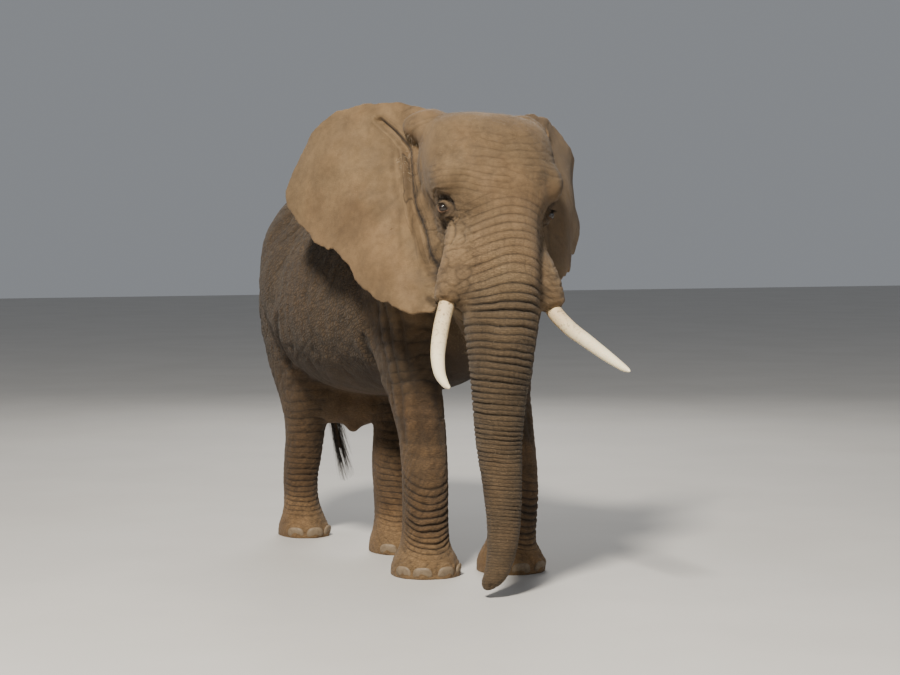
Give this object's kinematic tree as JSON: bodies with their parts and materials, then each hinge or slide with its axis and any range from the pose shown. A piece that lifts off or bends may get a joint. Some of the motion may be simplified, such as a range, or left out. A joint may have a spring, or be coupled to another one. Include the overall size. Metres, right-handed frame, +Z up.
{
  "type": "elephant figure",
  "caption": "Life-size standing African savanna bull elephant, trunk hanging to the ground, ears half spread, with tusks and tail.",
  "frame": {"origin": "on the floor, under the middle of the whole model's bounding box", "axes": "+Z up, the elephant faces -Y, its own left side is +X"},
  "size_m": [2.2148, 4.3858, 3.2413],
  "materials": {
    "hide": "dry, deeply wrinkled grey-brown elephant hide, dusted with soil",
    "ivory": "satin cream ivory, stained brown near the lip",
    "eye": "wet, dark brown"
  },
  "bodies": {
    "root": {"torso": "hide", "neck": "hide", "head": "hide", "trunk_upper": "hide", "trunk_middle": "hide", "trunk_tip": "hide", "left_ear": "hide", "right_ear": "hide", "left_fore_leg": "hide", "right_fore_leg": "hide", "left_hind_leg": "hide", "right_hind_leg": "hide", "tail": "hide", "left_tusk": "ivory", "right_tusk": "ivory", "left_eye": "eye", "right_eye": "eye"}
  },
  "joints": []
}
